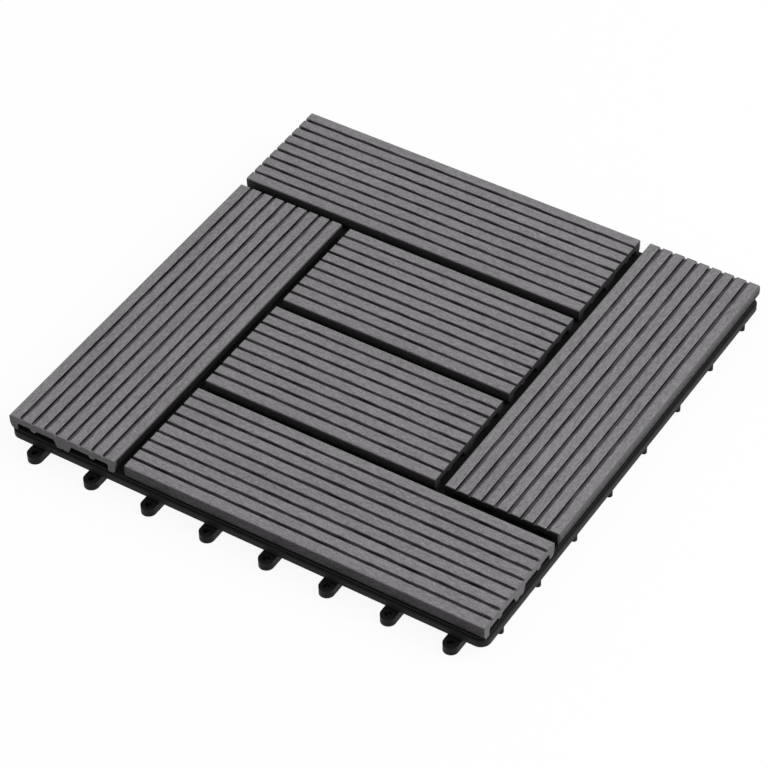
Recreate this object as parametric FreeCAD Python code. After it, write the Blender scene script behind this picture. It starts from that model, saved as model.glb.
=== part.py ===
import FreeCAD, Part
import math
import os

# Interlocking deck tile: six grooved composite slats, laid as a pinwheel, screwed from below
# onto one moulded plastic base. The base stands on studs, has loops along two sides and pins
# along the other two, and neighbouring tiles hook into each other by them.
# Millimetres, +Z up. The origin is on the floor under the middle of the tile. The loops are on
# the sides at -X and -Y, and the pins are on the sides at +X and +Y.

VECTOR = FreeCAD.Vector
UP = VECTOR(0.0, 0.0, 1.0)
CENTRE = VECTOR(0.0, 0.0, 0.0)

# The tile as laid
TILE_HEIGHT = 22.0
TILE_JOINT = 2.0            # between the slats of one tile and those of the next
BASE_JOINT = 0.6            # between the bases of the same two tiles

# Slats: an extruded composite section, cut to length
SLAT_WIDTH = 70.0
SLAT_GAP = 6.0
SLAT_HEIGHT = 9.0
SLAT_PLATE = 4.2            # thickness of the walked-on plate, with its grooves
SLAT_EDGE_R = 1.2           # rounding of the two upper edges
SLAT_UPRIGHT = 3.2          # upright part of each side, between the rounding and the tuck
SLAT_TUCK = 1.6             # how far each side curves in at the bottom
SLAT_LEG = 3.4              # width of each outer leg at the bottom
SLAT_ROOT = 0.9             # sloped corner between a leg and the plate

GROOVE_COUNT = 8
GROOVE_MARGIN = 7.65        # from the slat's edge to the middle of the first groove
GROOVE_MOUTH = 2.0
GROOVE_FLOOR = 1.2
GROOVE_DEPTH = 1.2

MID_RIB_ROOT = 11.5         # rib that takes the screws, at the plate
MID_RIB_TIP = 7.6           # the same rib where it rests on the base
MID_NOTCH_WIDTH = 2.6       # guide for the screw tips
MID_NOTCH_DEPTH = 0.9
SIDE_RIB_INSET = 10.6       # shallow stiffening ribs, from the leg's inner face to their middle
SIDE_RIB_ROOT = 4.6
SIDE_RIB_TIP = 2.2
SIDE_RIB_DEPTH = 1.8

# Base: one moulding
CORNER_R = 6.0
SKIRT_WALL = 2.4
SKIRT_LAP = 1.2             # height over which the skirt and the seat are one
SKIRT_EDGE = 0.6            # slope along its upper edge
SEAT_STEP = 1.2             # the seat stands back from the skirt's face
SEAT_WIDTH = 11.5
SEAT_PLATE = 2.8
RIB_WALL = 1.6
RIB_CLEARANCE = 4.0         # the ribs stay this far above the floor
STRIP_MARGIN = 1.0          # strip under each slat gap, past the legs it carries
STRIP_PLATE = 2.4

STUD_SIDE = 7.0             # square studs that stand on the floor, at every second crossing
STUD_ROOT = 3.0             # how far a stud runs up into the ribs
RIBS_PER_SLAT = 3

# Loops and pins
LINK_COUNT = 8              # along each side
LINK_INSET = 2.3            # pins inside the tile's pitch edge, loop holes outside it
LOOP_WIDTH = 8.8
LOOP_HEIGHT = 5.0
LOOP_HEADROOM = 2.0         # between a loop's top and the skirt it passes under
LOOP_WALL = 1.5
LOOP_WEB = 1.8
LOOP_HOLE_R = 2.1
LOOP_CLEARANCE = 0.6        # between a loop's end and the next tile's frame wall
PIN_CLEARANCE = 0.2         # between a pin and a loop's hole, all round
PIN_FLOOR_GAP = 2.6         # a pin ends this far above the floor
PIN_ROOT = 0.3              # how far a pin's root runs up into the seat
PIN_SHOULDER = 0.4          # the root is wider than its pin by this much, all round

# Screws, driven up through the base into the slats' middle ribs
SCREW_END = 25.5            # first screw from a slat's end
SCREW_COUNT = 2             # in each slat
SCREW_SIDES = 10            # flats that stand for the round of a screw and of its holes
SCREW_R = 1.7
SCREW_HEAD_R = 3.5
SCREW_HEAD = 2.0
SCREW_BITE = 6.4            # length inside the slat
BOSS_WALL = 1.3
BOSS_WEB = 2.6
HEAD_CLEARANCE = 0.8        # between a head and the walls of its square well
SHANK_CLEARANCE = 0.3       # between a shank and the base, all round

OVERSHOOT = 1.0             # how far a cutting tool runs past what it cuts

# What follows from the sizes above
FIELD_HALF = (4.0 * SLAT_WIDTH + 3.0 * SLAT_GAP) / 2.0
TILE_PITCH = 2.0 * FIELD_HALF + TILE_JOINT
BASE_HALF = (TILE_PITCH - BASE_JOINT) / 2.0
BASE_TOP = TILE_HEIGHT - SLAT_HEIGHT
LONG_SLAT = 3.0 * SLAT_WIDTH + 2.0 * SLAT_GAP
SHORT_SLAT = 2.0 * SLAT_WIDTH + SLAT_GAP
SLAT_PITCH = SLAT_WIDTH + SLAT_GAP
RIB_PITCH = SLAT_PITCH / RIBS_PER_SLAT
GROOVE_PITCH = (SLAT_WIDTH - 2.0 * GROOVE_MARGIN) / (GROOVE_COUNT - 1)
LINK_PITCH = TILE_PITCH / LINK_COUNT
PIN_R = LOOP_HOLE_R - PIN_CLEARANCE
HOLE_LINE = TILE_PITCH / 2.0 + LINK_INSET
PIN_LINE = TILE_PITCH / 2.0 - LINK_INSET
LOOP_END = HOLE_LINE + LOOP_WIDTH / 2.0
WALL_HALF = TILE_PITCH - LOOP_END - LOOP_CLEARANCE
SEAT_HALF = BASE_HALF - SEAT_STEP
SEAT_FLOOR = BASE_TOP - SEAT_PLATE
SKIRT_FLOOR = LOOP_HEIGHT + LOOP_HEADROOM
SKIRT_TOP = SEAT_FLOOR + SKIRT_LAP
WELL_HALF = SCREW_HEAD_R + HEAD_CLEARANCE
BOSS_HALF = WELL_HALF + BOSS_WALL
HEAD_SEAT = BASE_TOP - BOSS_WEB


def placed(shape, x, y, turn=0.0):
    copy = shape.copy()
    copy.rotate(CENTRE, UP, turn)
    copy.translate(VECTOR(x, y, 0.0))
    return copy


def bar(x0, x1, y0, y1, z0, z1):
    return Part.makeBox(x1 - x0, y1 - y0, z1 - z0, VECTOR(x0, y0, z0))


def long_profile(points, length):
    # A section drawn in Y and Z, run along X about the middle
    corners = [VECTOR(-length / 2.0, y, z) for y, z in points]
    wire = Part.makePolygon(corners + corners[:1])
    return Part.Face(wire).extrude(VECTOR(length, 0.0, 0.0))


def round_bar(radius, z0, z1):
    # A bar with flats for its round, for what repeats and is hidden
    turns = [2.0 * math.pi * i / SCREW_SIDES for i in range(SCREW_SIDES)]
    corners = [VECTOR(radius * math.cos(t), radius * math.sin(t), z0) for t in turns]
    return Part.Face(Part.makePolygon(corners + corners[:1])).extrude(UP * (z1 - z0))


def rounded_square(half, radius, z0, z1):
    block = bar(-half, half, -half, half, z0, z1)
    upright = [e for e in block.Edges if abs(e.Vertexes[0].Z - e.Vertexes[-1].Z) > (z1 - z0) / 2.0]
    return block.makeFillet(radius, upright)


def ring(outer, inner, radius, z0, z1):
    wall = outer - inner
    hole = rounded_square(inner, max(radius - wall, wall), z0 - OVERSHOOT, z1 + OVERSHOOT)
    return rounded_square(outer, radius, z0, z1).cut(hole)


# Slats

def slat_outline(length):
    # The outer form: flat top with rounded edges, sides that are upright and then curve in
    half = SLAT_WIDTH / 2.0
    foot = half - SLAT_TUCK
    waist = SLAT_HEIGHT - SLAT_EDGE_R - SLAT_UPRIGHT
    bow = (waist * waist + SLAT_TUCK * SLAT_TUCK) / (2.0 * SLAT_TUCK)
    swing = math.asin(waist / bow) / 2.0
    bow_y = half - bow + bow * math.cos(swing)
    bow_z = waist - bow * math.sin(swing)
    shoulder = SLAT_HEIGHT - SLAT_EDGE_R
    flat = half - SLAT_EDGE_R
    nose = SLAT_EDGE_R * (1.0 - math.cos(math.pi / 4.0))
    nose_y = half - nose
    nose_z = SLAT_HEIGHT - nose
    x = -length / 2.0

    def at(y, z):
        return VECTOR(x, y, z)

    edges = [
        Part.LineSegment(at(-foot, 0.0), at(foot, 0.0)),
        Part.Arc(at(foot, 0.0), at(bow_y, bow_z), at(half, waist)),
        Part.LineSegment(at(half, waist), at(half, shoulder)),
        Part.Arc(at(half, shoulder), at(nose_y, nose_z), at(flat, SLAT_HEIGHT)),
        Part.LineSegment(at(flat, SLAT_HEIGHT), at(-flat, SLAT_HEIGHT)),
        Part.Arc(at(-flat, SLAT_HEIGHT), at(-nose_y, nose_z), at(-half, shoulder)),
        Part.LineSegment(at(-half, shoulder), at(-half, waist)),
        Part.Arc(at(-half, waist), at(-bow_y, bow_z), at(-foot, 0.0)),
    ]
    wire = Part.Wire([e.toShape() for e in edges])
    return Part.Face(wire).extrude(VECTOR(length, 0.0, 0.0))


def slat_channel(length, side):
    # The hollow between an outer leg and the middle rib, with a shallow rib in its ceiling
    leg = SLAT_WIDTH / 2.0 - SLAT_TUCK - SLAT_LEG
    ceiling = SLAT_HEIGHT - SLAT_PLATE
    rib_low = ceiling - SIDE_RIB_DEPTH
    rib_y = leg - SIDE_RIB_INSET
    points = [
        (leg, -OVERSHOOT),
        (leg, ceiling - SLAT_ROOT),
        (leg - SLAT_ROOT, ceiling),
        (rib_y + SIDE_RIB_ROOT / 2.0, ceiling),
        (rib_y + SIDE_RIB_TIP / 2.0, rib_low),
        (rib_y - SIDE_RIB_TIP / 2.0, rib_low),
        (rib_y - SIDE_RIB_ROOT / 2.0, ceiling),
        (MID_RIB_ROOT / 2.0, ceiling),
        (MID_RIB_TIP / 2.0, 0.0),
        (MID_RIB_TIP / 2.0, -OVERSHOOT),
    ]
    return long_profile([(side * y, z) for y, z in points], length + 2.0 * OVERSHOOT)


def slat_groove(length, y):
    flare = (GROOVE_MOUTH - GROOVE_FLOOR) / 2.0 / GROOVE_DEPTH
    mouth = GROOVE_MOUTH / 2.0 + flare * OVERSHOOT
    floor = SLAT_HEIGHT - GROOVE_DEPTH
    top = SLAT_HEIGHT + OVERSHOOT
    points = [
        (y - mouth, top),
        (y - GROOVE_FLOOR / 2.0, floor),
        (y + GROOVE_FLOOR / 2.0, floor),
        (y + mouth, top),
    ]
    return long_profile(points, length + 2.0 * OVERSHOOT)


def screw_places(length):
    step = (length - 2.0 * SCREW_END) / (SCREW_COUNT - 1)
    return [SCREW_END - length / 2.0 + step * i for i in range(SCREW_COUNT)]


def make_slat(length):
    tools = [slat_channel(length, side) for side in (-1.0, 1.0)]
    first = -GROOVE_PITCH * (GROOVE_COUNT - 1) / 2.0
    tools += [slat_groove(length, first + GROOVE_PITCH * i) for i in range(GROOVE_COUNT)]
    half_notch = MID_NOTCH_WIDTH / 2.0
    notch = [(-half_notch, 0.0), (0.0, MID_NOTCH_DEPTH), (half_notch, 0.0), (0.0, -OVERSHOOT)]
    tools.append(long_profile(notch, length + 2.0 * OVERSHOOT))
    pilot = round_bar(SCREW_R, -OVERSHOOT, SCREW_BITE)
    tools += [placed(pilot, x, 0.0) for x in screw_places(length)]
    slat = slat_outline(length).cut(tools)
    slat.translate(VECTOR(0.0, 0.0, BASE_TOP))
    return slat


def slat_layout():
    # Name, length, centre and turn of each slat; the long ones go round as a pinwheel
    along = (LONG_SLAT - 2.0 * FIELD_HALF) / 2.0
    across = FIELD_HALF - SLAT_WIDTH / 2.0
    layout = [
        ("slat_back", LONG_SLAT, along, across, 0.0),
        ("slat_left", LONG_SLAT, -across, along, 90.0),
        ("slat_front", LONG_SLAT, -along, -across, 180.0),
        ("slat_right", LONG_SLAT, across, -along, 270.0),
        ("slat_inner_back", SHORT_SLAT, 0.0, SLAT_PITCH / 2.0, 0.0),
        ("slat_inner_front", SHORT_SLAT, 0.0, -SLAT_PITCH / 2.0, 0.0),
    ]
    return layout


def all_screw_places():
    places = []
    for name, length, x, y, turn in slat_layout():
        angle = math.radians(turn)
        for s in screw_places(length):
            places.append((x + s * math.cos(angle), y + s * math.sin(angle)))
    return places


# Screws

def make_screw():
    # A flat head, and the shank that bites in the slat
    head = round_bar(SCREW_HEAD_R, HEAD_SEAT - SCREW_HEAD, HEAD_SEAT)
    return head.fuse(round_bar(SCREW_R, HEAD_SEAT, BASE_TOP + SCREW_BITE))


# Base

def grid_lines():
    # Rib lines under the slats and their gaps, inside the frame wall
    reach = int((WALL_HALF - RIB_PITCH / 2.0) / RIB_PITCH)
    return [RIB_PITCH * k for k in range(-reach, reach + 1)]


def base_ribs():
    # A deep slab with one pocket for each square between the rib lines
    slab = bar(-WALL_HALF, WALL_HALF, -WALL_HALF, WALL_HALF, RIB_CLEARANCE, BASE_TOP)
    limit = WALL_HALF - RIB_WALL / 2.0
    lines = [-limit] + grid_lines() + [limit]
    half = RIB_WALL / 2.0
    spans = [(a + half, b - half) for a, b in zip(lines[:-1], lines[1:])]
    pockets = []
    for x0, x1 in spans:
        for y0, y1 in spans:
            pockets.append(bar(x0, x1, y0, y1, RIB_CLEARANCE - OVERSHOOT, BASE_TOP + OVERSHOOT))
    return slab.cut(Part.makeCompound(pockets))


def on_outer_rim(edge):
    # True for the edges around the top of the skirt's outer face
    middle = edge.valueAt((edge.FirstParameter + edge.LastParameter) / 2.0)
    corner = BASE_HALF - CORNER_R
    x = max(abs(middle.x) - corner, 0.0)
    y = max(abs(middle.y) - corner, 0.0)
    level = abs(middle.z - SKIRT_TOP) < SKIRT_LAP / 2.0 and edge.BoundBox.ZLength < SKIRT_LAP / 2.0
    return level and math.hypot(x, y) > CORNER_R - SKIRT_WALL / 2.0


def base_rim():
    # The skirt's band with a sloped upper edge, and the seat that stands back inside it
    skirt = ring(BASE_HALF, BASE_HALF - SKIRT_WALL, CORNER_R, SKIRT_FLOOR, SKIRT_TOP)
    skirt = skirt.makeChamfer(SKIRT_EDGE, [e for e in skirt.Edges if on_outer_rim(e)])
    seat = ring(SEAT_HALF, SEAT_HALF - SEAT_WIDTH, CORNER_R - SEAT_STEP, SEAT_FLOOR, BASE_TOP)
    return [skirt, seat]


def gap_strips():
    # Flat strips that close the gaps between the slats from below and carry their legs
    half = SLAT_GAP / 2.0 + SLAT_TUCK + SLAT_LEG + STRIP_MARGIN
    low = BASE_TOP - STRIP_PLATE
    strips = [bar(-SLAT_PITCH, SLAT_PITCH, -half, half, low, BASE_TOP)]
    for line in (-SLAT_PITCH, SLAT_PITCH):
        strips.append(bar(line - half, line + half, -WALL_HALF, WALL_HALF, low, BASE_TOP))
        strips.append(bar(-WALL_HALF, WALL_HALF, line - half, line + half, low, BASE_TOP))
    return strips


def base_studs():
    places = [k for k in grid_lines() if abs(round(k / RIB_PITCH)) % 2 == 0]
    h = STUD_SIDE / 2.0
    top = RIB_CLEARANCE + STUD_ROOT
    return [bar(x - h, x + h, y - h, y + h, 0.0, top) for x in places for y in places]


def link_places():
    return [LINK_PITCH * (i - (LINK_COUNT - 1) / 2.0) for i in range(LINK_COUNT)]


def loop_tab(root):
    # A tab with a round end, pointing at -Y from y = -root
    half = LOOP_WIDTH / 2.0
    tip = VECTOR(0.0, -LOOP_END, 0.0)
    left = VECTOR(-half, -HOLE_LINE, 0.0)
    right = VECTOR(half, -HOLE_LINE, 0.0)
    left_root = VECTOR(-half, -root, 0.0)
    right_root = VECTOR(half, -root, 0.0)
    edges = [
        Part.LineSegment(right, right_root),
        Part.LineSegment(right_root, left_root),
        Part.LineSegment(left_root, left),
        Part.Arc(left, tip, right),
    ]
    wire = Part.Wire([e.toShape() for e in edges])
    return Part.Face(wire).extrude(VECTOR(0.0, 0.0, LOOP_HEIGHT))


def make_loop():
    # A hollow tab, open below, with a holed web on top; its root rises to the seat
    inside = WALL_HALF - RIB_WALL / 2.0
    half = LOOP_WIDTH / 2.0
    tab = loop_tab(inside)
    root = bar(-half, half, SKIRT_WALL - BASE_HALF, -inside, 0.0, SEAT_FLOOR + SEAT_PLATE / 2.0)
    inner = half - LOOP_WALL
    ceiling = LOOP_HEIGHT - LOOP_WEB
    hollow = bar(-inner, inner, -HOLE_LINE - LOOP_HOLE_R, -WALL_HALF, -OVERSHOOT, ceiling)
    hole = Part.makeCylinder(LOOP_HOLE_R, LOOP_HEIGHT + OVERSHOOT, VECTOR(0.0, -HOLE_LINE, 0.0))
    return tab.fuse(root).cut([hollow, hole])


def base_loops():
    loop = make_loop()
    loops = []
    for place in link_places():
        loops.append(placed(loop, place, 0.0))
        loops.append(placed(loop, 0.0, place, -90.0))
    return loops


def make_pin():
    # Hangs on a square root under the seat, at x = 0, y = 0, with the skirt on its +Y side
    half = PIN_R + PIN_SHOULDER
    root = bar(-half, half, -half, SEAT_HALF - PIN_LINE, SKIRT_FLOOR, SEAT_FLOOR + PIN_ROOT)
    pin = Part.makeCylinder(PIN_R, SEAT_FLOOR - PIN_FLOOR_GAP, VECTOR(0.0, 0.0, PIN_FLOOR_GAP))
    return root.fuse(pin)


def base_pins():
    pin = make_pin()
    pins = []
    for place in link_places():
        pins.append(placed(pin, place, PIN_LINE))
        pins.append(placed(pin, PIN_LINE, place, -90.0))
    return pins


def screw_bosses():
    # Square towers with a well for the screw's head, open below, and a hole in the web above it
    bosses = []
    bores = []
    tower = bar(-BOSS_HALF, BOSS_HALF, -BOSS_HALF, BOSS_HALF, RIB_CLEARANCE, BASE_TOP)
    well = bar(-WELL_HALF, WELL_HALF, -WELL_HALF, WELL_HALF, -OVERSHOOT, HEAD_SEAT)
    hole_r = SCREW_R + SHANK_CLEARANCE
    hole = round_bar(hole_r, HEAD_SEAT - OVERSHOOT, BASE_TOP + OVERSHOOT)
    for x, y in all_screw_places():
        bosses.append(placed(tower, x, y))
        bores += [placed(well, x, y), placed(hole, x, y)]
    return bosses, bores


def make_base():
    bosses, bores = screw_bosses()
    parts = base_rim() + gap_strips() + base_studs() + base_loops() + base_pins() + bosses
    base = base_ribs().fuse(parts)
    return base.cut(bores).removeSplitter()


def main():
    os.makedirs("parts", exist_ok=True)
    nodes = {"base_grid": make_base()}
    for name, length, x, y, turn in slat_layout():
        nodes[name] = placed(make_slat(length), x, y, turn)
    screw = make_screw()
    nodes["screws"] = Part.makeCompound([placed(screw, x, y) for x, y in all_screw_places()])
    for name, shape in nodes.items():
        shape.exportStep("parts/" + name + ".step")
        print(name, len(shape.Solids), "solids", round(shape.Volume, 1), "mm3", shape.isValid())


main()
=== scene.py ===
import math
import bmesh
import bpy
from mathutils import Matrix, Vector


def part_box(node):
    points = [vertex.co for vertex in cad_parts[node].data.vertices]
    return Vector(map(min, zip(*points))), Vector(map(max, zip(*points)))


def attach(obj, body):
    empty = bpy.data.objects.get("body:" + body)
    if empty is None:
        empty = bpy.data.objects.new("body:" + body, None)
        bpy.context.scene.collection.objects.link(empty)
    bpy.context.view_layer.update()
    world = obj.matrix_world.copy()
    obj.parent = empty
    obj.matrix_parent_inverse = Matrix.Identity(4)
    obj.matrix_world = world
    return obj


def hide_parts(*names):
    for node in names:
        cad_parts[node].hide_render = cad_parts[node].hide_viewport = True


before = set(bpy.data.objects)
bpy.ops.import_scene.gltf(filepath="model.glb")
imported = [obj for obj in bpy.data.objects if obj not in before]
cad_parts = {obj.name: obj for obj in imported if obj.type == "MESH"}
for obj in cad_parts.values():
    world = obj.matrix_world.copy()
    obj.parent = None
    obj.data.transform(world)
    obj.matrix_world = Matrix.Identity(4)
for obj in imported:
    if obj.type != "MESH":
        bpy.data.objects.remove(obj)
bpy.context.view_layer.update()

# Camera
# A long lens looks down on the corner between one loop side and one pin side. Its angles,
# distance and length were solved from the corners of the six slats in the photograph.

MM = 0.001
SENSOR_MM = 36.0
FRAME_PIXELS = 768
LENS_PIXELS = 3186.8
VIEW_AZIMUTH = math.radians(33.507)
VIEW_ELEVATION = math.radians(43.976)
VIEW_ROLL = math.radians(-1.75)
VIEW_DISTANCE = 1743.41 * MM
VIEW_RIGHT = -3.91 * MM
VIEW_UP = -19.189 * MM
VIEW_REACH = 50.0

deck_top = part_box("slat_back")[1].z
back = Vector((math.sin(VIEW_AZIMUTH) * math.cos(VIEW_ELEVATION),
               -math.cos(VIEW_AZIMUTH) * math.cos(VIEW_ELEVATION),
               math.sin(VIEW_ELEVATION)))
level_right = Vector((math.cos(VIEW_AZIMUTH), math.sin(VIEW_AZIMUTH), 0.0))
level_up = back.cross(level_right)
right = level_right * math.cos(VIEW_ROLL) + level_up * math.sin(VIEW_ROLL)
up = level_up * math.cos(VIEW_ROLL) - level_right * math.sin(VIEW_ROLL)

camera_data = bpy.data.cameras.new("camera")
camera_data.sensor_width = SENSOR_MM
camera_data.lens = SENSOR_MM * LENS_PIXELS / FRAME_PIXELS
camera_data.clip_end = VIEW_REACH
camera = bpy.data.objects.new("camera", camera_data)
bpy.context.scene.collection.objects.link(camera)
turn = Matrix((right, up, back)).transposed().to_4x4()
eye = right * VIEW_RIGHT + up * VIEW_UP + back * VIEW_DISTANCE + Vector((0.0, 0.0, deck_top))
camera.matrix_world = Matrix.Translation(eye) @ turn
bpy.context.scene.camera = camera

# Floor and light
# A pale matt studio floor. The camera sees it white, apart from the tile's soft shadow and a
# painted shade right under the tile and inside its loops. What it throws back on the tile is matt
# grey.

WHITE = "#ffffff"
FLOOR_GREY = "#808080"
FLOOR_SIZE = 12.0
FLOOR_GLOW_SHARE = 0.92
SHADE_PAINT_REACH = 6.5 * MM
SHADE_PAINT_DARK = 0.22
SHADE_PAINT_CLEAR = 0.42
CONTACT_SAMPLES = 16
WORLD_STRENGTH = 0.58
LAMP_SIZE = 1.6
LAMP_WATTS = 39.0
LAMP_PLACE = Vector((1.7, 0.8, 1.7))


def linear(hex_colour):
    channels = [int(hex_colour[i:i + 2], 16) / 255.0 for i in (1, 3, 5)]
    return [c / 12.92 if c <= 0.04045 else ((c + 0.055) / 1.055) ** 2.4 for c in channels] + [1.0]


def add_node(tree, kind, settings, inputs):
    # A colour Mix node has its two colours in sockets 6 and 7, and gives the result at output 2
    node = tree.nodes.new(kind)
    for name, value in settings.items():
        setattr(node, name, value)
    for name, value in inputs.items():
        if isinstance(value, bpy.types.NodeSocket):
            tree.links.new(value, node.inputs[name])
        else:
            node.inputs[name].default_value = value
    return node


def empty_material(name):
    material = bpy.data.materials.new(name)
    material.use_nodes = True
    material.node_tree.nodes.clear()
    return material


floor_mesh = bpy.data.meshes.new("studio_floor")
floor_bm = bmesh.new()
bmesh.ops.create_grid(floor_bm, x_segments=1, y_segments=1, size=FLOOR_SIZE / 2.0)
floor_bm.to_mesh(floor_mesh)
floor_bm.free()
floor = bpy.data.objects.new("studio_floor", floor_mesh)
bpy.context.scene.collection.objects.link(floor)

floor_paint = empty_material("matt studio floor")
tree = floor_paint.node_tree
path = add_node(tree, "ShaderNodeLightPath", {}, {})
mirror_seen = add_node(tree, "ShaderNodeMath", {"operation": "MAXIMUM"}, {
    0: path.outputs["Is Camera Ray"], 1: path.outputs["Is Glossy Ray"]})
# Painted shade: the glow that the camera sees is dimmed where an occlusion test finds the floor
# hidden
open_sky = add_node(tree, "ShaderNodeAmbientOcclusion", {"samples": CONTACT_SAMPLES}, {
    "Distance": SHADE_PAINT_REACH})
painted_contact_shade = add_node(tree, "ShaderNodeMapRange", {"interpolation_type": "SMOOTHSTEP"}, {
    "Value": open_sky.outputs["AO"], "From Min": SHADE_PAINT_DARK, "From Max": SHADE_PAINT_CLEAR})
paper_tone = add_node(tree, "ShaderNodeMix", {"data_type": "RGBA"}, {
    "Factor": mirror_seen.outputs[0], 6: linear(FLOOR_GREY), 7: linear(WHITE)})
paper = add_node(tree, "ShaderNodeBsdfDiffuse", {}, {"Color": paper_tone.outputs[2]})
glow = add_node(tree, "ShaderNodeEmission", {}, {
    "Color": linear(WHITE), "Strength": painted_contact_shade.outputs[0]})
glow_share = add_node(tree, "ShaderNodeMath", {"operation": "MULTIPLY"}, {
    0: mirror_seen.outputs[0], 1: FLOOR_GLOW_SHARE})
surface = add_node(tree, "ShaderNodeMixShader", {}, {
    0: glow_share.outputs[0], 1: paper.outputs[0], 2: glow.outputs[0]})
add_node(tree, "ShaderNodeOutputMaterial", {}, {"Surface": surface.outputs[0]})
floor_mesh.materials.append(floor_paint)

world = bpy.data.worlds.new("studio")
bpy.context.scene.world = world
world.use_nodes = True
world.node_tree.nodes["Background"].inputs["Color"].default_value = linear(WHITE)
world.node_tree.nodes["Background"].inputs["Strength"].default_value = WORLD_STRENGTH

lamp_data = bpy.data.lights.new("soft_box", "AREA")
lamp_data.size = LAMP_SIZE
lamp_data.energy = LAMP_WATTS
lamp = bpy.data.objects.new("soft_box", lamp_data)
bpy.context.scene.collection.objects.link(lamp)
lamp_turn = LAMP_PLACE.to_track_quat("Z", "Y").to_matrix().to_4x4()
lamp.matrix_world = Matrix.Translation(LAMP_PLACE) @ lamp_turn

bpy.context.scene.view_settings.view_transform = "Standard"

# Base
# One moulding of black polypropylene: skirt, seat, ribs, studs, loops and pins. Its skin is the
# fine satin of an eroded mould: to the eye a soft dull black, a little greyer in patches where
# the melt froze first. Its grain of 0.1 mm is drawn at 0.6 mm, or it wouldn't show.

PLASTIC_BLACK = "#1a191b"
PLASTIC_GREY = "#272628"
FLOW_PATCH = 25.0 * MM
FLOW_DETAIL = 3.0
MOULD_GRAIN = 0.6 * MM
GRAIN_DETAIL = 2.0
MOULD_RELIEF = 0.03 * MM
MOULD_BUMP = 0.4
MOULD_ROUGHNESS = (0.42, 0.58)
MOULD_SHINE = 0.1
PLASTIC_IOR = 1.49


def give(node_name, material):
    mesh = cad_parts[node_name].data
    mesh.materials.clear()
    mesh.materials.append(material)


plastic = empty_material("moulded black polypropylene")
tree = plastic.node_tree
place = add_node(tree, "ShaderNodeTexCoord", {}, {})
flow = add_node(tree, "ShaderNodeTexNoise", {}, {
    "Vector": place.outputs["Object"], "Scale": 1.0 / FLOW_PATCH, "Detail": FLOW_DETAIL})
grain = add_node(tree, "ShaderNodeTexNoise", {}, {
    "Vector": place.outputs["Object"], "Scale": 1.0 / MOULD_GRAIN, "Detail": GRAIN_DETAIL})
tone = add_node(tree, "ShaderNodeMix", {"data_type": "RGBA"}, {
    "Factor": flow.outputs["Fac"], 6: linear(PLASTIC_BLACK), 7: linear(PLASTIC_GREY)})
satin = add_node(tree, "ShaderNodeMapRange", {}, {
    "Value": grain.outputs["Fac"], "To Min": MOULD_ROUGHNESS[0], "To Max": MOULD_ROUGHNESS[1]})
relief = add_node(tree, "ShaderNodeBump", {}, {
    "Height": grain.outputs["Fac"], "Strength": MOULD_BUMP, "Distance": MOULD_RELIEF})
shader = add_node(tree, "ShaderNodeBsdfPrincipled", {}, {
    "Base Color": tone.outputs[2], "Roughness": satin.outputs[0], "Normal": relief.outputs[0],
    "IOR": PLASTIC_IOR, "Specular IOR Level": MOULD_SHINE})
add_node(tree, "ShaderNodeOutputMaterial", {}, {"Surface": shader.outputs[0]})
give("base_grid", plastic)

# Slats
# Extruded composite of wood flour and plastic, through-coloured grey. The die leaves a dark,
# slightly shiny skin, which stays on the sides, below and in the grooves. The walked-on ridges
# are brushed along their length: to the eye a pale matt grey with short streaks. Ends are sawn.

# A value given for X and for Y belongs to the slats that run along that axis. The two kinds
# differ partly by painted light and shade, as their sides, gaps, grooves and shoulders face the
# light differently. The scratches of the brush and of the saw, 0.1 to 0.3 mm wide on a real slat,
# are drawn at 0.6 mm, or they wouldn't show.

SPECK_PALE = "#b5b2b5"
PIT_DARK = "#4a474a"
BRUSHED_PALE = "#9c999c"
BRUSHED_GREY = "#827f82"
BRUSHED_DARK = "#666366"
SHOULDER_SHADE_GREY = "#4d4a4d"
# Side and skin tones hold painted light: the sides facing the lamp are painted lighter, and the
# skin darkens downward partly as painted shade
SIDE_GREY_AND_LIGHT = {"X": "#565356", "Y": "#625f62"}
SKIN_DARK_AND_SHADE = {"X": "#393639", "Y": "#2c292c"}
# Painted shade: the faces in the gaps between the slats are painted near black
PAINTED_GAP_SHADE = {"X": "#3a373a", "Y": "#232123"}
GROOVE_SHADE_DARK = {"X": "#1d1a1d", "Y": "#100f10"}
GROOVE_LIT_GREY = {"X": "#535053", "Y": "#5d5a5d"}
SAWN_GREY = "#8a878a"
SAWN_DARK = "#6d6a6d"
BRUSH_DEPTH = {"X": 0.5 * MM, "Y": 0.2 * MM}
BRUSH_AND_SHADE_FADE = {"X": (0.6 * MM, 8.5 * MM), "Y": (1.6 * MM, 5.0 * MM)}
GAP_SHADE_DEPTH = (0.2 * MM, 1.1 * MM)
DUST_REACH = 2.5 * MM
GROOVE_SHADE_EDGE = {"X": (-0.15 * MM, 1.0 * MM), "Y": (-0.7 * MM, -0.45 * MM)}
GROOVE_SHADE_TORN = {"X": 2.0, "Y": 0.5}
SHINE_ROUGHNESS = (0.7, 0.55)
SAWN_ROUGHNESS = 0.75
SLAT_IOR = 1.5
SLAT_SHINE = 0.12
GROOVES = 8
GROOVE_MARGIN = 7.65 * MM
GROOVE_HALF = 1.0 * MM
GROOVE_DEPTH = 1.25 * MM
OUTER_FACE = 1.5 * MM
DUST_FADE = (0.7 * MM, 1.6 * MM)
STREAK_WIDTH = 0.6 * MM
STREAK_STRETCH = 5.0
STREAK_DETAIL = 4.0
FLOUR_SIZE = 1.0 * MM
FLOUR_DETAIL = 3.0
FLOUR_SHARE = 0.6
WORN_PATCH = 14.0 * MM
WORN_DETAIL = 2.0
WORN_SHARE = 0.25
OPENED_LEVELS = (0.595, 0.925, 1.275)
OPENED_SIDE = (0.68, 1.18)
SPECK_LEVELS = (0.67, 0.73)
SPECK_SHARE = 0.8
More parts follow.
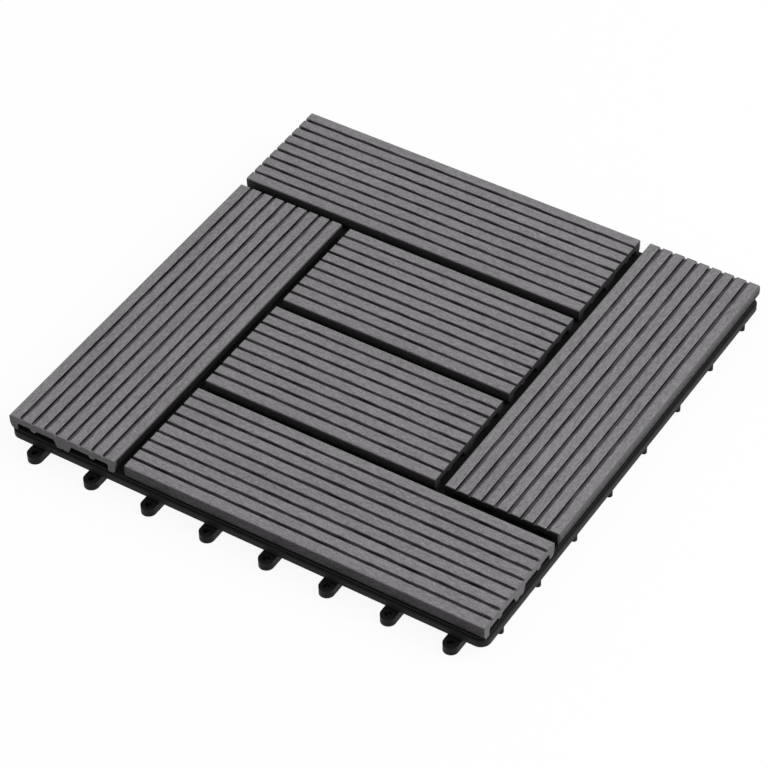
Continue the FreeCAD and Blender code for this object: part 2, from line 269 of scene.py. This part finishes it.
PIT_LEVELS = (0.33, 0.27)
PIT_SHARE = 0.7
PATCH_DROP = {"X": 20.0 * MM, "Y": 5.0 * MM}
TORN_SIZE = 2.5 * MM
TORN_DEPTH = 1.1 * MM
TORN_DETAIL = 3.0
SAW_TOOTH = 0.6 * MM
SAW_DETAIL = 3.0
SAW_LEVELS = (0.35, 0.65)
BRUSH_RELIEF = 0.12 * MM
BRUSH_BUMP = 0.5
LIP = 0.04 * MM
END_FACING = 0.9
SHOULDER_SHADE_LEAN = {"X": 0.15 * MM, "Y": 0.4 * MM}

field_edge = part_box("slat_back")[1].y


def composite(slat_name, along):
    # along names the axis of the extrusion and across the other level one. The lean is how far a
    # painted shade reaches onto the ridge past one side of each groove.
    across = "Y" if along == "X" else "X"
    shade_lean = SHOULDER_SHADE_LEAN[along]
    low, high = [dict(zip("XYZ", corner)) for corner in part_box(slat_name)]
    width = high[across] - low[across]
    middle = (high[across] + low[across]) / 2.0
    groove_pitch = (width - 2.0 * GROOVE_MARGIN) / (GROOVES - 1)
    material = empty_material("brushed grey wood composite, " + slat_name.replace("_", " "))
    tree = material.node_tree
    place = add_node(tree, "ShaderNodeTexCoord", {}, {}).outputs["Object"]
    axes = add_node(tree, "ShaderNodeSeparateXYZ", {}, {0: place}).outputs
    facing = add_node(tree, "ShaderNodeNewGeometry", {}, {}).outputs["True Normal"]
    faces = add_node(tree, "ShaderNodeSeparateXYZ", {}, {0: facing}).outputs
    shorten = [1.0 / STREAK_STRETCH if axis == along else 1.0 for axis in "XYZ"]
    drawn = add_node(tree, "ShaderNodeMapping", {}, {"Vector": place, "Scale": shorten}).outputs[0]

    # Where on the section a point lies: below the deck, and to the side of the nearest groove.
    # The brush tears its edges a little, so these are uneven.
    depth = add_node(tree, "ShaderNodeMath", {"operation": "SUBTRACT"}, {
        0: deck_top, 1: axes["Z"]}).outputs[0]
    torn_noise = add_node(tree, "ShaderNodeTexNoise", {}, {
        "Vector": drawn, "Scale": 1.0 / TORN_SIZE, "Detail": TORN_DETAIL}).outputs["Fac"]
    torn = add_node(tree, "ShaderNodeMapRange", {}, {
        "Value": torn_noise, "To Min": -TORN_DEPTH, "To Max": TORN_DEPTH}).outputs[0]
    aside = add_node(tree, "ShaderNodeMath", {"operation": "SUBTRACT"}, {
        0: axes[across], 1: middle}).outputs[0]
    from_middle = add_node(tree, "ShaderNodeMath", {"operation": "ABSOLUTE"}, {0: aside}).outputs[0]
    grooved = add_node(tree, "ShaderNodeMath", {"operation": "LESS_THAN"}, {
        0: from_middle, 1: groove_pitch * GROOVES / 2.0}).outputs[0]
    next_line = add_node(tree, "ShaderNodeMath", {"operation": "SUBTRACT"}, {
        0: aside, 1: groove_pitch / 2.0}).outputs[0]
    from_groove = add_node(tree, "ShaderNodeMath", {"operation": "WRAP"}, {
        0: next_line, 1: groove_pitch / 2.0, 2: -groove_pitch / 2.0}).outputs[0]

    # Brushed ridges: short fine streaks, pale specks of flour, dark pits where some tore out,
    # and patches that wore more
    streaks = add_node(tree, "ShaderNodeTexNoise", {}, {
        "Vector": drawn, "Scale": 1.0 / STREAK_WIDTH, "Detail": STREAK_DETAIL}).outputs["Fac"]
    flour = add_node(tree, "ShaderNodeTexNoise", {}, {
        "Vector": place, "Scale": 1.0 / FLOUR_SIZE, "Detail": FLOUR_DETAIL}).outputs["Fac"]
    patches = add_node(tree, "ShaderNodeTexNoise", {}, {
        "Vector": drawn, "Scale": 1.0 / WORN_PATCH, "Detail": WORN_DETAIL}).outputs["Fac"]
    fibres = add_node(tree, "ShaderNodeMath", {"operation": "MULTIPLY_ADD"}, {
        0: flour, 1: FLOUR_SHARE, 2: streaks}).outputs[0]
    opened = add_node(tree, "ShaderNodeMath", {"operation": "MULTIPLY_ADD"}, {
        0: patches, 1: WORN_SHARE, 2: fibres}).outputs[0]
    to_grey = add_node(tree, "ShaderNodeMapRange", {}, {
        "Value": opened, "From Min": OPENED_LEVELS[0], "From Max": OPENED_LEVELS[1]}).outputs[0]
    to_pale = add_node(tree, "ShaderNodeMapRange", {}, {
        "Value": opened, "From Min": OPENED_LEVELS[1], "From Max": OPENED_LEVELS[2]}).outputs[0]
    darker = add_node(tree, "ShaderNodeMix", {"data_type": "RGBA"}, {
        "Factor": to_grey, 6: linear(BRUSHED_DARK), 7: linear(BRUSHED_GREY)}).outputs[2]
    streaked = add_node(tree, "ShaderNodeMix", {"data_type": "RGBA"}, {
        "Factor": to_pale, 6: darker, 7: linear(BRUSHED_PALE)}).outputs[2]
    speck = add_node(tree, "ShaderNodeMapRange", {}, {
        "Value": flour, "From Min": SPECK_LEVELS[0], "From Max": SPECK_LEVELS[1],
        "To Max": SPECK_SHARE}).outputs[0]
    specked = add_node(tree, "ShaderNodeMix", {"data_type": "RGBA"}, {
        "Factor": speck, 6: streaked, 7: linear(SPECK_PALE)}).outputs[2]
    pit = add_node(tree, "ShaderNodeMapRange", {}, {
        "Value": flour, "From Min": PIT_LEVELS[0], "From Max": PIT_LEVELS[1],
        "To Max": PIT_SHARE}).outputs[0]
    brushed = add_node(tree, "ShaderNodeMix", {"data_type": "RGBA"}, {
        "Factor": pit, 6: specked, 7: linear(PIT_DARK)}).outputs[2]

    # Painted shade on the ridge's shoulder, past one side of each groove
    shade_offset = add_node(tree, "ShaderNodeMath", {"operation": "SUBTRACT"}, {
        0: from_groove, 1: shade_lean}).outputs[0]
    off_groove = add_node(tree, "ShaderNodeMath", {"operation": "ABSOLUTE"}, {0: shade_offset}).outputs[0]
    off_torn = add_node(tree, "ShaderNodeMath", {"operation": "ADD"}, {
        0: off_groove, 1: torn}).outputs[0]
    shoulder_shade = add_node(tree, "ShaderNodeMapRange", {}, {
        "Value": off_torn, "From Min": GROOVE_HALF - shade_lean, "From Max": GROOVE_HALF + shade_lean,
        "To Min": grooved, "To Max": 0.0}).outputs[0]
    ridge = add_node(tree, "ShaderNodeMix", {"data_type": "RGBA"}, {
        "Factor": shoulder_shade, 6: brushed, 7: linear(SHOULDER_SHADE_GREY)}).outputs[2]

    # Skin of the die: brushed a little round the upper edges, and darker further down, partly as
    # the brush fades out and partly as painted shade. Between the slats it is painted near black as
    # shade.
    patch_drop = add_node(tree, "ShaderNodeMapRange", {}, {
        "Value": opened, "From Min": OPENED_SIDE[0], "From Max": OPENED_SIDE[1],
        "To Min": PATCH_DROP[along] / 2.0, "To Max": -PATCH_DROP[along] / 2.0}).outputs[0]
    worn_depth = add_node(tree, "ShaderNodeMath", {"operation": "ADD"}, {
        0: depth, 1: patch_drop}).outputs[0]
    fade_and_shade = add_node(tree, "ShaderNodeMapRange", {}, {
        "Value": worn_depth, "From Min": BRUSH_AND_SHADE_FADE[along][0],
        "From Max": BRUSH_AND_SHADE_FADE[along][1]}).outputs[0]
    side = add_node(tree, "ShaderNodeMix", {"data_type": "RGBA"}, {
        "Factor": fade_and_shade, 6: linear(SIDE_GREY_AND_LIGHT[along]), 7: linear(SKIN_DARK_AND_SHADE[along])}).outputs[2]
    off_x = add_node(tree, "ShaderNodeMath", {"operation": "ABSOLUTE"}, {0: axes["X"]}).outputs[0]
    off_y = add_node(tree, "ShaderNodeMath", {"operation": "ABSOLUTE"}, {0: axes["Y"]}).outputs[0]
    outermost = add_node(tree, "ShaderNodeMath", {"operation": "MAXIMUM"}, {
        0: off_x, 1: off_y}).outputs[0]
    # Painted shade on the inner faces between the slats, below the deck
    between = add_node(tree, "ShaderNodeMath", {"operation": "LESS_THAN"}, {
        0: outermost, 1: field_edge - OUTER_FACE}).outputs[0]
    gap_shade_mask = add_node(tree, "ShaderNodeMapRange", {}, {
        "Value": depth, "From Min": GAP_SHADE_DEPTH[0], "From Max": GAP_SHADE_DEPTH[1],
        "To Max": between}).outputs[0]
    skin = add_node(tree, "ShaderNodeMix", {"data_type": "RGBA"}, {
        "Factor": gap_shade_mask, 6: side, 7: linear(PAINTED_GAP_SHADE[along])}).outputs[2]

    # Grooves: the skin, with painted shade darkest along one wall and painted light on the floor
    # beside it
    shallow = add_node(tree, "ShaderNodeMath", {"operation": "LESS_THAN"}, {
        0: depth, 1: GROOVE_DEPTH}).outputs[0]
    in_groove = add_node(tree, "ShaderNodeMath", {"operation": "MULTIPLY"}, {
        0: grooved, 1: shallow}).outputs[0]
    shade_edge = add_node(tree, "ShaderNodeMath", {"operation": "MULTIPLY_ADD"}, {
        0: torn, 1: GROOVE_SHADE_TORN[along], 2: from_groove}).outputs[0]
    groove_light_share = add_node(tree, "ShaderNodeMapRange", {}, {
        "Value": shade_edge, "From Min": GROOVE_SHADE_EDGE[along][0],
        "From Max": GROOVE_SHADE_EDGE[along][1]}).outputs[0]
    groove = add_node(tree, "ShaderNodeMix", {"data_type": "RGBA"}, {
        "Factor": groove_light_share, 6: linear(GROOVE_SHADE_DARK[along]),
        7: linear(GROOVE_LIT_GREY[along])}).outputs[2]
    unbrushed = add_node(tree, "ShaderNodeMix", {"data_type": "RGBA"}, {
        "Factor": in_groove, 6: skin, 7: groove}).outputs[2]
    below = add_node(tree, "ShaderNodeMapRange", {}, {
        "Value": depth, "From Min": LIP, "From Max": BRUSH_DEPTH[along]}).outputs[0]
    drawn_tone = add_node(tree, "ShaderNodeMix", {"data_type": "RGBA"}, {
        "Factor": below, 6: ridge, 7: unbrushed}).outputs[2]

    # Sawn ends: the core of the mix, with the marks of the teeth. Dust is packed into the last
    # millimetre of each groove that ends at the tile's edge.
    teeth = add_node(tree, "ShaderNodeTexNoise", {}, {
        "Vector": place, "Scale": 1.0 / SAW_TOOTH, "Detail": SAW_DETAIL}).outputs["Fac"]
    toothed = add_node(tree, "ShaderNodeMapRange", {}, {
        "Value": teeth, "From Min": SAW_LEVELS[0], "From Max": SAW_LEVELS[1]}).outputs[0]
    core = add_node(tree, "ShaderNodeMix", {"data_type": "RGBA"}, {
        "Factor": toothed, 6: linear(SAWN_DARK), 7: linear(SAWN_GREY)}).outputs[2]
    from_low = add_node(tree, "ShaderNodeMath", {"operation": "SUBTRACT"}, {
        0: axes[along], 1: low[along]}).outputs[0]
    from_high = add_node(tree, "ShaderNodeMath", {"operation": "SUBTRACT"}, {
        0: high[along], 1: axes[along]}).outputs[0]
    from_end = add_node(tree, "ShaderNodeMath", {"operation": "MINIMUM"}, {
        0: from_low, 1: from_high}).outputs[0]
    torn_end = add_node(tree, "ShaderNodeMath", {"operation": "ADD"}, {
        0: from_end, 1: torn}).outputs[0]
    at_edge = add_node(tree, "ShaderNodeMath", {"operation": "GREATER_THAN"}, {
        0: outermost, 1: field_edge - DUST_REACH}).outputs[0]
    edge_groove = add_node(tree, "ShaderNodeMath", {"operation": "MULTIPLY"}, {
        0: in_groove, 1: at_edge}).outputs[0]
    dusty = add_node(tree, "ShaderNodeMapRange", {}, {
        "Value": torn_end, "From Min": DUST_FADE[0], "From Max": DUST_FADE[1],
        "To Min": edge_groove, "To Max": 0.0}).outputs[0]
    dusted = add_node(tree, "ShaderNodeMix", {"data_type": "RGBA"}, {
        "Factor": dusty, 6: drawn_tone, 7: core}).outputs[2]
    # A sawn end inside a gap gets the same painted shade
    shaded_gap_core = add_node(tree, "ShaderNodeMix", {"data_type": "RGBA"}, {
        "Factor": gap_shade_mask, 6: core, 7: linear(PAINTED_GAP_SHADE[along])}).outputs[2]
    endwise = add_node(tree, "ShaderNodeMath", {"operation": "ABSOLUTE"}, {
        0: faces[along]}).outputs[0]
    sawn = add_node(tree, "ShaderNodeMath", {"operation": "GREATER_THAN"}, {
        0: endwise, 1: END_FACING}).outputs[0]
    tone = add_node(tree, "ShaderNodeMix", {"data_type": "RGBA"}, {
        "Factor": sawn, 6: dusted, 7: shaded_gap_core}).outputs[2]

    # Opened fibres are matt, the skin has a low shine, and a sawn end is matt again
    skin_shine = add_node(tree, "ShaderNodeMapRange", {}, {
        "Value": below, "To Min": SHINE_ROUGHNESS[0], "To Max": SHINE_ROUGHNESS[1]}).outputs[0]
    sawn_matt = add_node(tree, "ShaderNodeMath", {"operation": "MULTIPLY"}, {
        0: sawn, 1: SAWN_ROUGHNESS}).outputs[0]
    roughness = add_node(tree, "ShaderNodeMath", {"operation": "MAXIMUM"}, {
        0: skin_shine, 1: sawn_matt}).outputs[0]
    relief = add_node(tree, "ShaderNodeBump", {}, {
        "Height": fibres, "Strength": BRUSH_BUMP, "Distance": BRUSH_RELIEF}).outputs[0]
    shader = add_node(tree, "ShaderNodeBsdfPrincipled", {}, {
        "Base Color": tone, "Roughness": roughness, "Normal": relief, "IOR": SLAT_IOR,
        "Specular IOR Level": SLAT_SHINE})
    add_node(tree, "ShaderNodeOutputMaterial", {}, {"Surface": shader.outputs[0]})
    return material


slat_axes = {
    "slat_back": "X",
    "slat_front": "X",
    "slat_inner_back": "X",
    "slat_inner_front": "X",
    "slat_left": "Y",
    "slat_right": "Y",
}
for slat_name, along in slat_axes.items():
    give(slat_name, composite(slat_name, along))

# Screws
# Pan head screws of zinc plated steel with a cross recess and a coarse rolled thread. They are
# driven up through the wells in the base into the middle rib of each slat, two to a slat. The
# plating gives them a pale mirror, clouded where it is duller.

ZINC_COLOUR = "#c4c3bf"
ZINC_CLOUD = 1.2 * MM
CLOUD_DETAIL = 3.0
ZINC_ROUGHNESS = (0.25, 0.45)
SCREW_FROM_END = 25.5 * MM
HEAD_RADIUS = 3.45 * MM
HEAD_HEIGHT = 2.0 * MM
HEAD_FLAT = 2.75 * MM
HEAD_CROWN = (3.2 * MM, 0.3 * MM)
HEAD_RIM = 0.9 * MM
CORE_RADIUS = 1.2 * MM
THREAD_RADIUS = 1.6 * MM
THREAD_PITCH = 1.3 * MM
THREAD_STEPS = 12
RECESS_HALF = 1.9 * MM
RECESS_DEPTH = 1.2 * MM
RECESS_TAPER = 0.7
HEAD_CELLS = 6
THREAD_RUN_IN = 1.2 * MM
THREAD_HALF = 0.4 * MM
THREAD_ROOT = 0.1 * MM
POINT_LENGTH = 1.8 * MM
POINT_RADIUS = 0.15 * MM

screws_low, screws_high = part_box("screws")
screw_length = screws_high.z - screws_low.z


def ring_out(bm, edges, radius, height):
    # Draws an open rim out to the next circle of the turned shape
    made = bmesh.ops.extrude_edge_only(bm, edges=edges)["geom"]
    for vertex in (g for g in made if isinstance(g, bmesh.types.BMVert)):
        flat = Vector((vertex.co.x, vertex.co.y, 0.0)).normalized()
        vertex.co = flat * radius + Vector((0.0, 0.0, height))
    return [g for g in made if isinstance(g, bmesh.types.BMEdge)]


screw_bm = bmesh.new()
bmesh.ops.create_grid(screw_bm, x_segments=HEAD_CELLS, y_segments=HEAD_CELLS, size=RECESS_HALF)
rim = [e for e in screw_bm.edges if e.is_boundary]
turned_profile = [
    (HEAD_FLAT, 0.0),
    HEAD_CROWN,
    (HEAD_RADIUS, HEAD_RIM),
    (HEAD_RADIUS, HEAD_HEIGHT),
    (CORE_RADIUS, HEAD_HEIGHT),
    (CORE_RADIUS, screw_length - POINT_LENGTH),
    (POINT_RADIUS, screw_length),
]
for radius, height in turned_profile:
    rim = ring_out(screw_bm, rim, radius, height)
bmesh.ops.contextual_create(screw_bm, geom=rim)

# Cross recess: two cells wide, sunk with sloping sides
cell = 2.0 * RECESS_HALF / HEAD_CELLS
cross = []
for face in screw_bm.faces:
    middle = face.calc_center_median()
    x, y = abs(middle.x), abs(middle.y)
    if min(x, y) < cell and max(x, y) < RECESS_HALF and middle.z < RECESS_DEPTH / 2.0:
        cross.append(face)
sunk = bmesh.ops.extrude_face_region(screw_bm, geom=cross)["geom"]
bmesh.ops.delete(screw_bm, geom=cross, context="FACES")
sunk_vertices = [g for g in sunk if isinstance(g, bmesh.types.BMVert)]
bmesh.ops.translate(screw_bm, vec=(0.0, 0.0, RECESS_DEPTH), verts=sunk_vertices)
bmesh.ops.scale(screw_bm, vec=(RECESS_TAPER, RECESS_TAPER, 1.0), verts=sunk_vertices)
bmesh.ops.recalc_face_normals(screw_bm, faces=screw_bm.faces)

# Thread: one tooth, spun up the shank
thread_bm = bmesh.new()
thread_start = HEAD_HEIGHT + THREAD_RUN_IN
turns = int((screw_length - POINT_LENGTH - thread_start) / THREAD_PITCH)
tooth = [
    (CORE_RADIUS - THREAD_ROOT, -THREAD_HALF),
    (THREAD_RADIUS, 0.0),
    (CORE_RADIUS - THREAD_ROOT, THREAD_HALF),
]
corners = [thread_bm.verts.new((r, 0.0, thread_start + z)) for r, z in tooth]
thread_bm.faces.new(corners)
bmesh.ops.spin(thread_bm, geom=thread_bm.verts[:] + thread_bm.edges[:] + thread_bm.faces[:],
               cent=(0.0, 0.0, 0.0), axis=(0.0, 0.0, 1.0), angle=2.0 * math.pi * turns,
               dvec=(0.0, 0.0, THREAD_PITCH / THREAD_STEPS), steps=turns * THREAD_STEPS)
bmesh.ops.holes_fill(thread_bm, edges=[e for e in thread_bm.edges if e.is_boundary])
bmesh.ops.recalc_face_normals(thread_bm, faces=thread_bm.faces)
one_thread = bpy.data.meshes.new("one_thread")
thread_bm.to_mesh(one_thread)
thread_bm.free()
screw_bm.from_mesh(one_thread)
one_screw = bpy.data.meshes.new("one_screw")
screw_bm.to_mesh(one_screw)
screw_bm.free()

all_bm = bmesh.new()
for slat_name in slat_axes:
    low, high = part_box(slat_name)
    long_axis = 0 if high.x - low.x > high.y - low.y else 1
    for end in (low[long_axis] + SCREW_FROM_END, high[long_axis] - SCREW_FROM_END):
        spot = (low + high) / 2.0
        spot[long_axis] = end
        spot.z = screws_low.z
        already = len(all_bm.verts)
        all_bm.from_mesh(one_screw)
        all_bm.verts.ensure_lookup_table()
        bmesh.ops.translate(all_bm, vec=spot, verts=all_bm.verts[already:])
screws_mesh = bpy.data.meshes.new("cross_head_screws")
all_bm.to_mesh(screws_mesh)
all_bm.free()
screws = bpy.data.objects.new("cross_head_screws", screws_mesh)
bpy.context.scene.collection.objects.link(screws)

zinc = empty_material("bright zinc plated steel")
tree = zinc.node_tree
place = add_node(tree, "ShaderNodeTexCoord", {}, {})
cloud = add_node(tree, "ShaderNodeTexNoise", {}, {
    "Vector": place.outputs["Object"], "Scale": 1.0 / ZINC_CLOUD, "Detail": CLOUD_DETAIL})
dull = add_node(tree, "ShaderNodeMapRange", {}, {
    "Value": cloud.outputs["Fac"], "To Min": ZINC_ROUGHNESS[0], "To Max": ZINC_ROUGHNESS[1]})
shader = add_node(tree, "ShaderNodeBsdfPrincipled", {}, {
    "Base Color": linear(ZINC_COLOUR), "Metallic": 1.0, "Roughness": dull.outputs[0]})
add_node(tree, "ShaderNodeOutputMaterial", {}, {"Surface": shader.outputs[0]})
screws_mesh.materials.append(zinc)
give("screws", zinc)
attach(screws, "root")
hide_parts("screws")
